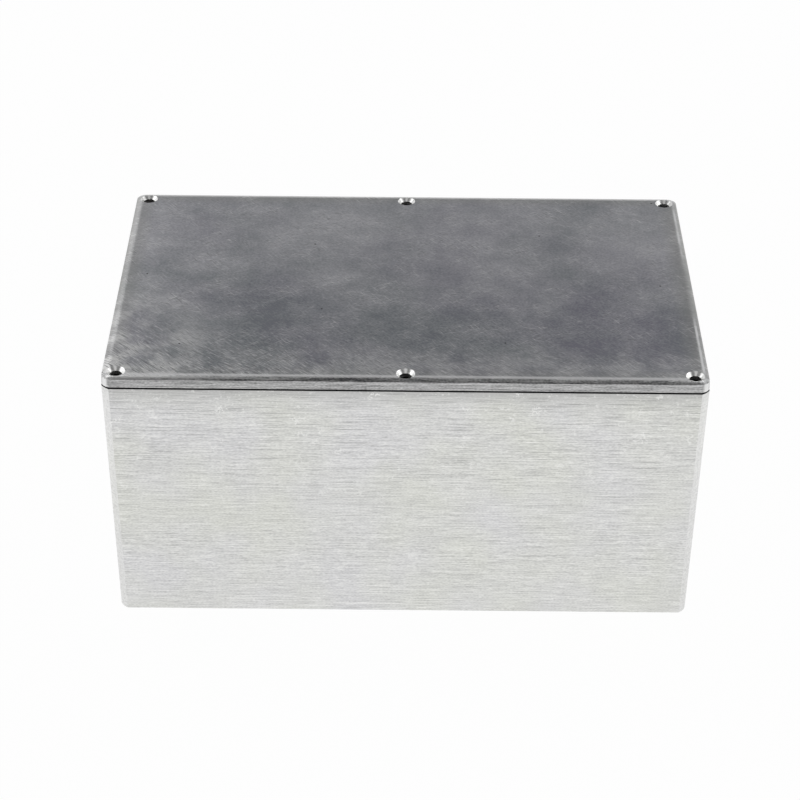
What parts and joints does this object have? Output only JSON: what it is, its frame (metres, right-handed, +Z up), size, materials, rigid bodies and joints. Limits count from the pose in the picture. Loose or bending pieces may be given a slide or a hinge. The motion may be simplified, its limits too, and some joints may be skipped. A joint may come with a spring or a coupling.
{
  "type": "die cast aluminium enclosure",
  "caption": "Deep rectangular die cast aluminium instrument box with drafted walls and a flat lapped lid held by countersunk screw holes at its edge.",
  "frame": {"origin": "middle of the underside, on the surface that the box stands on", "axes": "+Z up, +X along the length, +Y from the front long wall to the back long wall"},
  "size_m": [0.222, 0.146, 0.106],
  "materials": {
    "box_casting": "linished with fine brush lines along the walls",
    "lid_casting": "tumbled casting, mottled and finely scratched"
  },
  "bodies": {
    "root": {"box": "box_casting", "lid": "lid_casting"}
  },
  "joints": []
}
